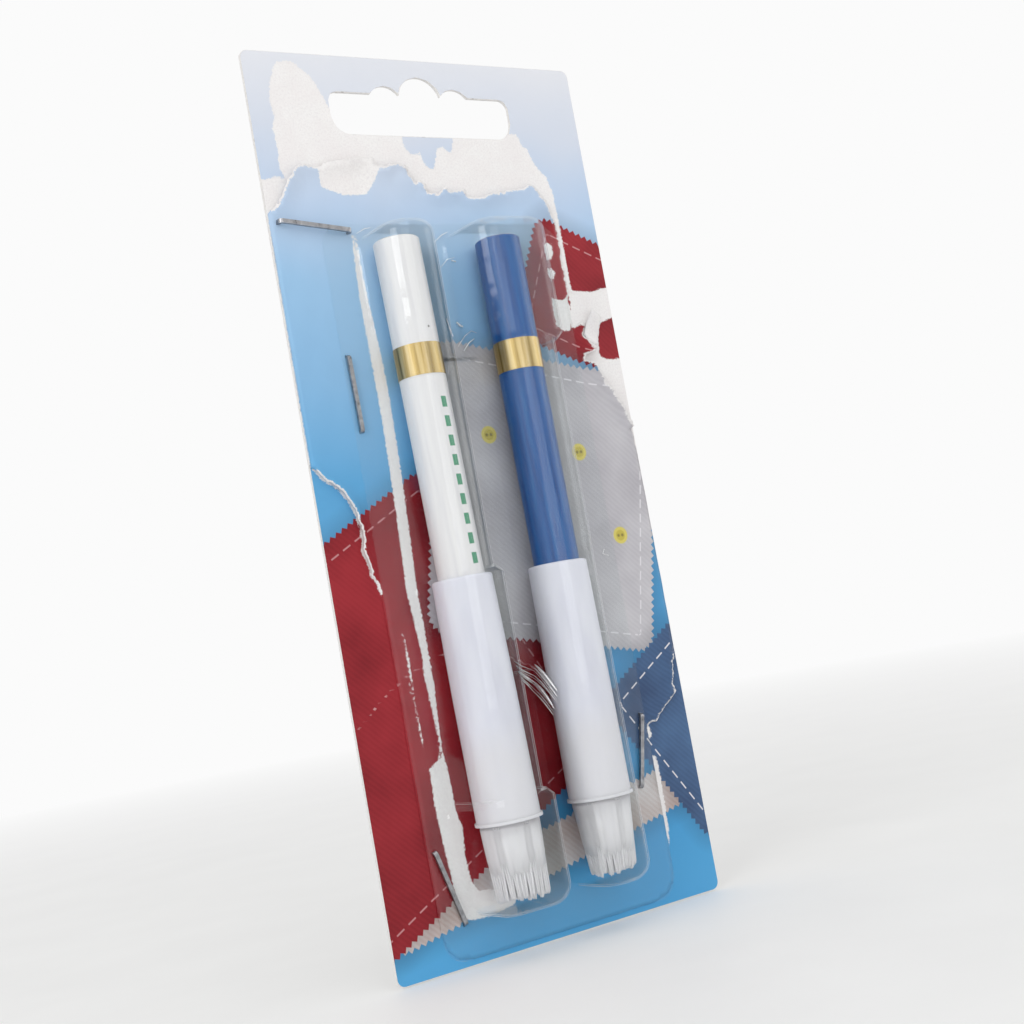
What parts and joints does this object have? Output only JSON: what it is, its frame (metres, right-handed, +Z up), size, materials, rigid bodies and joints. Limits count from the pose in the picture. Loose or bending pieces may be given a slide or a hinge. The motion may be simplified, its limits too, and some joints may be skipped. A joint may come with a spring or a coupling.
{
  "type": "chalk pencil blister card",
  "caption": "Hanging blister card of tailor's chalk pencils, each with a push-on brush cap; the caps turn and the pencils slide in their pockets.",
  "frame": {"origin": "top of the middle hump of the hang slot, where a shop peg carries the card, halfway through the card's thickness", "axes": "+X to the right as the printed front is seen, +Y into the card, away from the viewer, +Z up along the card"},
  "size_m": [0.065, 0.0132, 0.15],
  "materials": {
    "printed_board": "satin",
    "printed_paper": "gloss",
    "clear_film": "gloss",
    "staple_wire": "satin",
    "white_painted_wood": "gloss",
    "blue_painted_wood": "gloss",
    "white_chalk": "matte",
    "blue_chalk": "matte",
    "gold_foil": "polished",
    "cap_plastic": "satin",
    "bristle_plastic": "satin"
  },
  "bodies": {
    "pack": {"backing_card": "printed_board", "torn_printed_face": "printed_paper", "blister": "clear_film", "top_left_staple": "staple_wire", "left_staple": "staple_wire", "lower_left_staple": "staple_wire", "right_staple": "staple_wire"},
    "white_cap": {"white_cap_sleeve": "cap_plastic", "white_brush_plug": "cap_plastic", "white_bristles": "bristle_plastic"},
    "white_pencil": {"white_front_wood_half": "white_painted_wood", "white_back_wood_half": "white_painted_wood", "white_chalk_core": "white_chalk", "white_foil_band": "gold_foil"},
    "blue_cap": {"blue_cap_sleeve": "cap_plastic", "blue_brush_plug": "cap_plastic", "blue_bristles": "bristle_plastic"},
    "blue_pencil": {"blue_front_wood_half": "blue_painted_wood", "blue_back_wood_half": "blue_painted_wood", "blue_chalk_core": "blue_chalk", "blue_foil_band": "gold_foil"}
  },
  "joints": [
    {"name": "white_cap_spin", "type": "hinge", "parent": "pack", "child": "white_cap", "pos_m": [-0.01117, -0.00629, -0.1383], "axis": [-0.0105, 0.0173, 0.9998], "continuous": true},
    {"name": "white_pencil_slide", "type": "slide", "parent": "white_cap", "child": "white_pencil", "axis": [-0.0105, 0.0173, 0.9998], "range_m": [0, 0.001]},
    {"name": "blue_cap_spin", "type": "hinge", "parent": "pack", "child": "blue_cap", "pos_m": [0.00675, -0.00629, -0.1383], "axis": [0.0079, 0.0173, 0.9998], "continuous": true},
    {"name": "blue_pencil_slide", "type": "slide", "parent": "blue_cap", "child": "blue_pencil", "axis": [0.0079, 0.0173, 0.9998], "range_m": [0, 0.001]}
  ]
}
